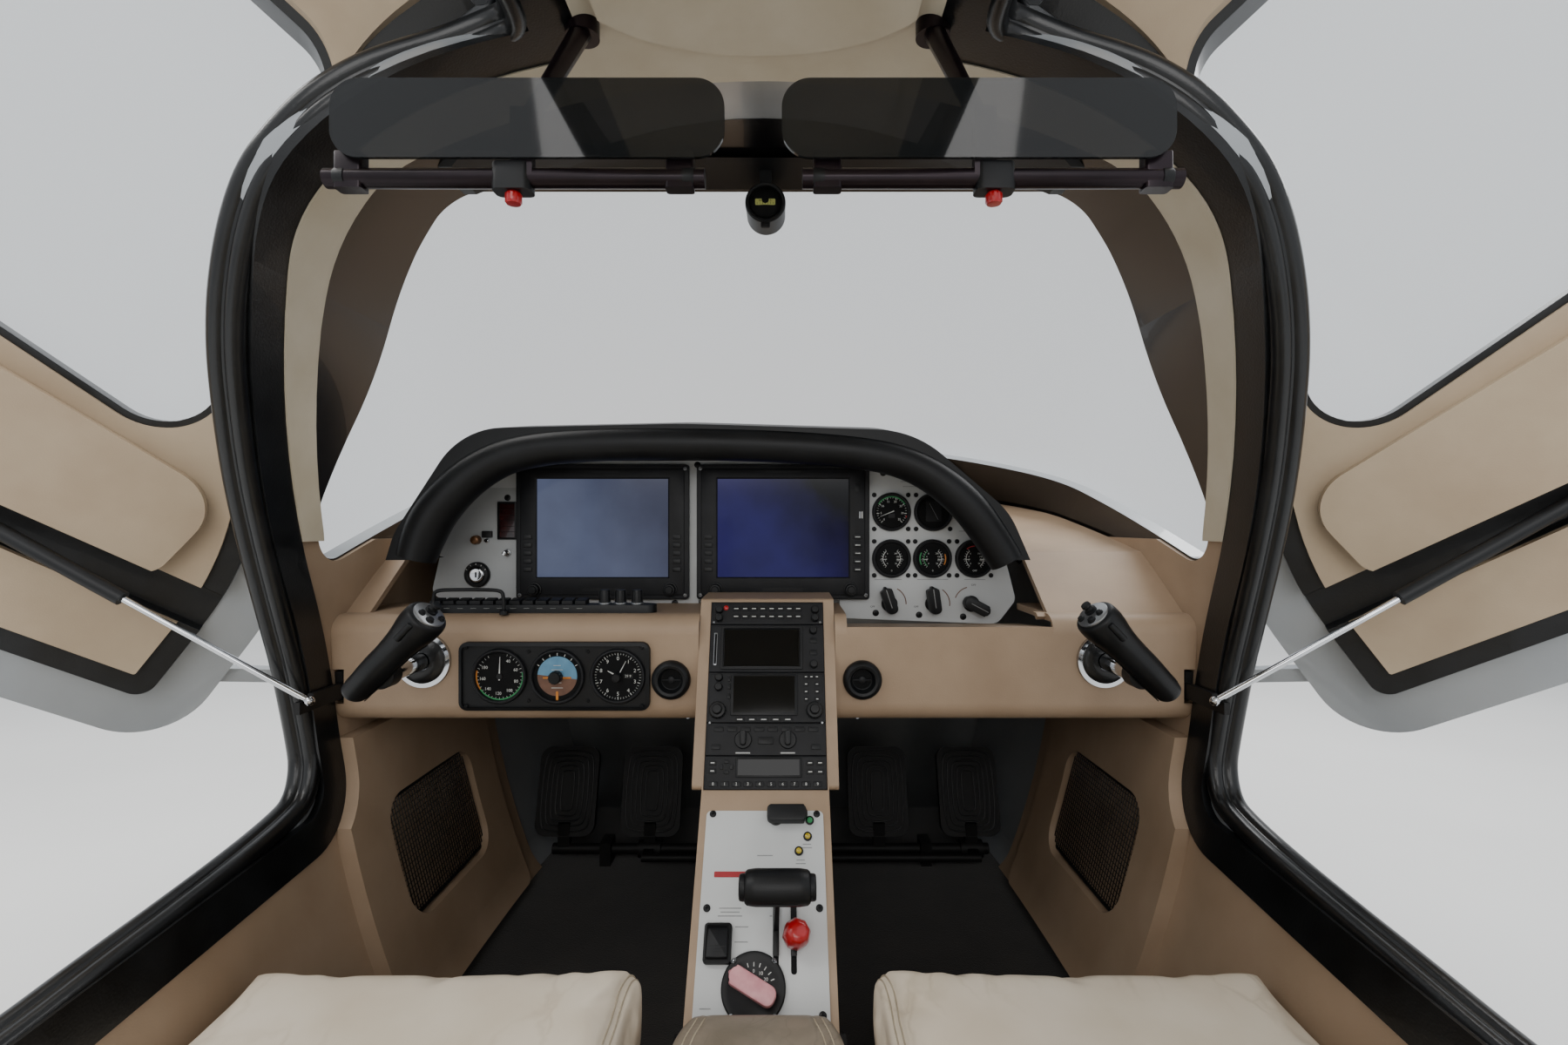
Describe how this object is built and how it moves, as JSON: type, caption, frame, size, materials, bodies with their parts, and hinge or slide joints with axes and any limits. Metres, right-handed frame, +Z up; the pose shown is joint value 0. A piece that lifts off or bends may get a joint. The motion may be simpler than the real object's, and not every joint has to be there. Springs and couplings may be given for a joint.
{
  "type": "light aircraft cockpit section",
  "caption": "Forward cabin section of a light aircraft: instrument panel, console, yokes, pedals, seats, windscreen and upward-opening doors, cut open behind the seats.",
  "frame": {"origin": "on the flat underside of the belly, on the centreline, below the face of the instrument panel", "axes": "+X to the right of the occupants, +Y forward to the firewall, +Z up from the belly"},
  "size_m": [2.8714, 2.022, 1.8107],
  "materials": {
    "hull_paint": "gloss",
    "firewall_steel": "satin",
    "clear_glass": "clear",
    "smoked_glass": "smoked",
    "cream_lining": "matte",
    "perforated_pad": "perforated",
    "black_rubber": "satin",
    "beige_lining": "grained",
    "floor_covering": "carpet",
    "black_padding": "grained",
    "black_plastic": "matte",
    "panel_grey": "textured",
    "display_glass": "gloss",
    "silver_plate": "satin",
    "red_knob": "gloss",
    "beige_leather": "soft",
    "cream_leather": "soft",
    "chrome": "polished",
    "seat_metal": "satin"
  },
  "bodies": {
    "airframe": {"hull_left": "hull_paint", "hull_right": "hull_paint", "windscreen": "clear_glass", "cabin_floor": "floor_covering", "firewall": "firewall_steel", "roof_trim": "cream_lining", "headliner_pad": "perforated_pad", "windscreen_header": "black_plastic", "door_seals": "black_rubber", "sidewall_trim": "beige_lining", "dash_bolster": "beige_lining", "instrument_panel": "panel_grey", "glareshield": "black_padding", "dash_deck": "black_plastic", "flight_displays": "display_glass", "engine_gauges": "black_plastic", "panel_controls": "black_plastic", "switch_row": "black_plastic", "standby_cluster": "black_plastic", "air_vents": "black_plastic", "center_console": "beige_lining", "avionics_stack": "black_plastic", "console_plate": "silver_plate", "console_controls": "black_plastic", "throttle_lever": "black_plastic", "mixture_lever": "red_knob", "armrest_box": "beige_lining", "yoke_rings": "chrome", "pedal_bearings": "seat_metal", "seat_rails": "seat_metal", "visor_plates": "smoked_glass", "visor_arms": "black_plastic", "compass": "black_plastic", "strut_brackets": "seat_metal", "door_hinges": "chrome"},
    "armrest_lid": {"armrest_lid": "beige_leather"},
    "yoke_shaft_left": {"yoke_shaft_left": "chrome"},
    "yoke_grip_left": {"yoke_grip_left": "black_rubber"},
    "pedals_left": {"pedals_left": "black_rubber"},
    "seat_left": {"seat_base_left": "seat_metal", "seat_cushion_left": "cream_leather"},
    "seat_back_left": {"seat_back_left": "cream_leather"},
    "door_left": {"door_shell_left": "hull_paint", "door_trim_left": "beige_lining", "door_window_left": "clear_glass"},
    "strut_tube_left": {"strut_tube_left": "black_plastic"},
    "strut_rod_left": {"strut_rod_left": "chrome"},
    "yoke_shaft_right": {"yoke_shaft_right": "chrome"},
    "yoke_grip_right": {"yoke_grip_right": "black_rubber"},
    "pedals_right": {"pedals_right": "black_rubber"},
    "seat_right": {"seat_base_right": "seat_metal", "seat_cushion_right": "cream_leather"},
    "seat_back_right": {"seat_back_right": "cream_leather"},
    "door_right": {"door_shell_right": "hull_paint", "door_trim_right": "beige_lining", "door_window_right": "clear_glass"},
    "strut_tube_right": {"strut_tube_right": "black_plastic"},
    "strut_rod_right": {"strut_rod_right": "chrome"}
  },
  "joints": [
    {"name": "door_left_hinge", "type": "hinge", "parent": "airframe", "child": "door_left", "pos_m": [-0.54, -0.128, 0.76], "axis": [0.4368, -0.3841, 0.8134], "range_deg": [0, 65.8]},
    {"name": "strut_tube_left_hinge", "type": "hinge", "parent": "door_left", "child": "strut_tube_left", "pos_m": [-0.98103, -0.33643, 0.83698], "axis": [0.5631, 0.0924, 0.8212], "range_deg": [0, 8]},
    {"name": "strut_rod_left_slide", "type": "slide", "parent": "strut_tube_left", "child": "strut_rod_left", "axis": [-0.7951, -0.2101, 0.5689], "range_m": [0, 0.175]},
    {"name": "door_right_hinge", "type": "hinge", "parent": "airframe", "child": "door_right", "pos_m": [0.54, -0.128, 0.76], "axis": [0.4368, 0.3841, -0.8134], "range_deg": [0, 65.8]},
    {"name": "strut_tube_right_hinge", "type": "hinge", "parent": "door_right", "child": "strut_tube_right", "pos_m": [0.98103, -0.33643, 0.83698], "axis": [0.5631, -0.0924, -0.8212], "range_deg": [0, 8]},
    {"name": "strut_rod_right_slide", "type": "slide", "parent": "strut_tube_right", "child": "strut_rod_right", "axis": [0.7951, -0.2101, 0.5689], "range_m": [0, 0.175]},
    {"name": "yoke_left_slide", "type": "slide", "parent": "airframe", "child": "yoke_shaft_left", "axis": [0, 1, 0], "range_m": [-0.06, 0.045]},
    {"name": "yoke_left_roll", "type": "hinge", "parent": "yoke_shaft_left", "child": "yoke_grip_left", "pos_m": [-0.474, -0.25, 0.588], "axis": [0, 1, 0], "range_deg": [-35, 35]},
    {"name": "yoke_right_slide", "type": "slide", "parent": "airframe", "child": "yoke_shaft_right", "axis": [0, 1, 0], "range_m": [-0.06, 0.045]},
    {"name": "yoke_right_roll", "type": "hinge", "parent": "yoke_shaft_right", "child": "yoke_grip_right", "pos_m": [0.474, -0.25, 0.588], "axis": [0, 1, 0], "range_deg": [-35, 35]},
    {"name": "pedals_left_turn", "type": "hinge", "parent": "airframe", "child": "pedals_left", "pos_m": [0, 0.325, 0.102], "axis": [1, 0, 0], "range_deg": [-14, 14]},
    {"name": "pedals_right_turn", "type": "hinge", "parent": "airframe", "child": "pedals_right", "pos_m": [0, 0.325, 0.102], "axis": [1, 0, 0], "range_deg": [-14, 14]},
    {"name": "seat_left_slide", "type": "slide", "parent": "airframe", "child": "seat_left", "axis": [0, -1, 0], "range_m": [0, 0.15]},
    {"name": "seat_back_left_fold", "type": "hinge", "parent": "seat_left", "child": "seat_back_left", "pos_m": [-0.331, -0.85, 0.25], "axis": [-1, 0, 0], "range_deg": [0, 54]},
    {"name": "seat_right_slide", "type": "slide", "parent": "airframe", "child": "seat_right", "axis": [0, -1, 0], "range_m": [0, 0.15]},
    {"name": "seat_back_right_fold", "type": "hinge", "parent": "seat_right", "child": "seat_back_right", "pos_m": [0.331, -0.85, 0.25], "axis": [-1, 0, 0], "range_deg": [0, 54]},
    {"name": "armrest_lid_hinge", "type": "hinge", "parent": "airframe", "child": "armrest_lid", "pos_m": [0.004, -0.908, 0.26], "axis": [1, 0, 0], "range_deg": [0, 80]}
  ],
  "couplings": [
    {"joint": "strut_tube_left_hinge", "follows": "door_left_hinge", "ratio": 0.12158},
    {"joint": "strut_rod_left_slide", "follows": "door_left_hinge", "m_per_rad": 0.15238},
    {"joint": "strut_tube_right_hinge", "follows": "door_right_hinge", "ratio": 0.12158},
    {"joint": "strut_rod_right_slide", "follows": "door_right_hinge", "m_per_rad": 0.15238},
    {"joint": "yoke_right_slide", "follows": "yoke_left_slide", "ratio": 1},
    {"joint": "yoke_right_roll", "follows": "yoke_left_roll", "ratio": 1},
    {"joint": "pedals_right_turn", "follows": "pedals_left_turn", "ratio": -1}
  ]
}
